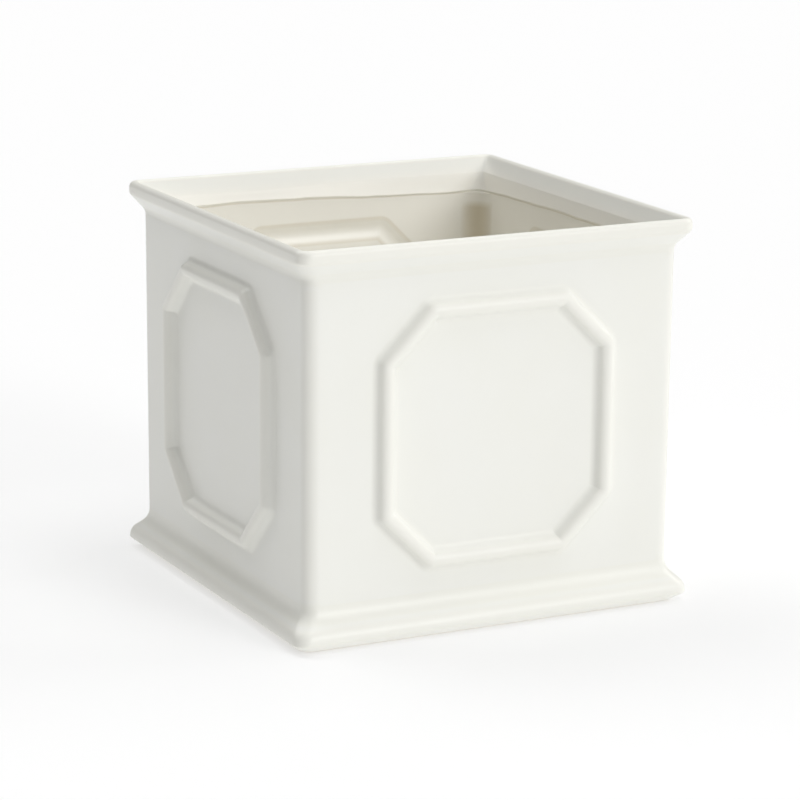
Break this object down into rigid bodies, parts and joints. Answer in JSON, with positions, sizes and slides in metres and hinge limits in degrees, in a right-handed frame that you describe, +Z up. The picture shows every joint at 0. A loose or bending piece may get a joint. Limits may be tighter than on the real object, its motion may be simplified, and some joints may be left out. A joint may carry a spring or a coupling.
{
  "type": "square cachepot",
  "caption": "Square ceramic cachepot with a flared, rounded rim, a raised octagonal bead on each side and a moulded base on small pads; open at the top, with no drain hole.",
  "frame": {"origin": "centre of the base on the surface that the pot stands on", "axes": "+Z up, the four sides face +X, -X, +Y and -Y; -Y is the side that the picture shows on the right"},
  "size_m": [0.202, 0.202, 0.182],
  "materials": {
    "glaze": "satin",
    "pad": "matt"
  },
  "bodies": {
    "root": {"pot": "glaze", "pad_front_left": "pad", "pad_front_right": "pad", "pad_back_left": "pad", "pad_back_right": "pad"}
  },
  "joints": []
}
